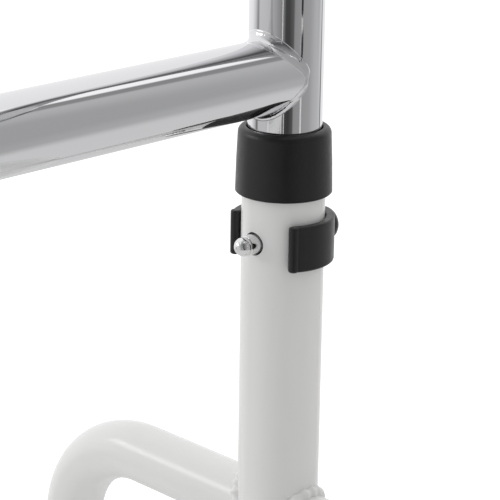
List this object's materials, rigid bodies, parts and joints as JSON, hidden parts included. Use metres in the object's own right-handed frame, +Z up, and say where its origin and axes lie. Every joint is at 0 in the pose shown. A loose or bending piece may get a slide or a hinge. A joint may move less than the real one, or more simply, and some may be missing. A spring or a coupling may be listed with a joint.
{
  "type": "toilet safety frame",
  "caption": "Free-standing toilet safety frame with padded arms, a rear crossbar, telescoping posts locked by clipped pins, and rubber feet.",
  "frame": {"origin": "on the floor, under the centre of the frame's footprint", "axes": "+Z up; the seated user faces -Y and the wall behind the toilet is +Y; +X is to the right of someone who looks along +Y from in front, and left and right are named from there"},
  "size_m": [0.57, 0.579, 0.684],
  "materials": {
    "white_paint": "smooth gloss powder coat",
    "chrome": "bright chrome plate",
    "black_plastic": "satin moulded plastic with a fine grain",
    "clip_plastic": "satin moulded plastic",
    "pin_steel": "plated and polished",
    "foot_rubber": "matt moulded rubber",
    "zinc_steel": "zinc plate",
    "brass": "turned",
    "pad_base_plastic": "satin moulded plastic",
    "pad_skin": "grained self-skinned foam"
  },
  "bodies": {
    "base": {"post_fl": "white_paint", "post_fr": "white_paint", "post_rl": "white_paint", "post_rr": "white_paint", "rail_l": "white_paint", "rail_r": "white_paint", "leg_fl": "white_paint", "leg_fr": "white_paint", "leg_rl": "white_paint", "leg_rr": "white_paint", "foot_fl": "foot_rubber", "foot_fr": "foot_rubber", "foot_rl": "foot_rubber", "foot_rr": "foot_rubber", "foot_washers": "zinc_steel", "collar_fl": "black_plastic", "collar_fr": "black_plastic", "collar_rl": "black_plastic", "collar_rr": "black_plastic", "post_plugs": "black_plastic"},
    "upper": {"arm_l": "chrome", "arm_r": "chrome", "crossbar": "chrome", "arm_glides": "black_plastic", "pad_base_l": "pad_base_plastic", "pad_base_r": "pad_base_plastic", "pad_inserts_l": "brass", "pad_inserts_r": "brass", "pad_screws_l": "zinc_steel", "pad_screws_r": "zinc_steel", "pad_l": "pad_skin", "pad_r": "pad_skin"},
    "clip_fl_body": {"clip_fl": "clip_plastic", "pin_fl": "pin_steel"},
    "clip_fr_body": {"clip_fr": "clip_plastic", "pin_fr": "pin_steel"},
    "clip_rl_body": {"clip_rl": "clip_plastic", "pin_rl": "pin_steel"},
    "clip_rr_body": {"clip_rr": "clip_plastic", "pin_rr": "pin_steel"}
  },
  "joints": [
    {"name": "height", "type": "slide", "parent": "base", "child": "upper", "axis": [0, 0, 1], "range_m": [0, 0.1524]},
    {"name": "pull_fl", "type": "slide", "parent": "base", "child": "clip_fl_body", "axis": [-1, 0, 0], "range_m": [0, 0.045], "deforming": ["clip_fl"]},
    {"name": "pull_fr", "type": "slide", "parent": "base", "child": "clip_fr_body", "axis": [1, 0, 0], "range_m": [0, 0.045], "deforming": ["clip_fr"]},
    {"name": "pull_rl", "type": "slide", "parent": "base", "child": "clip_rl_body", "axis": [-1, 0, 0], "range_m": [0, 0.045], "deforming": ["clip_rl"]},
    {"name": "pull_rr", "type": "slide", "parent": "base", "child": "clip_rr_body", "axis": [1, 0, 0], "range_m": [0, 0.045], "deforming": ["clip_rr"]}
  ]
}
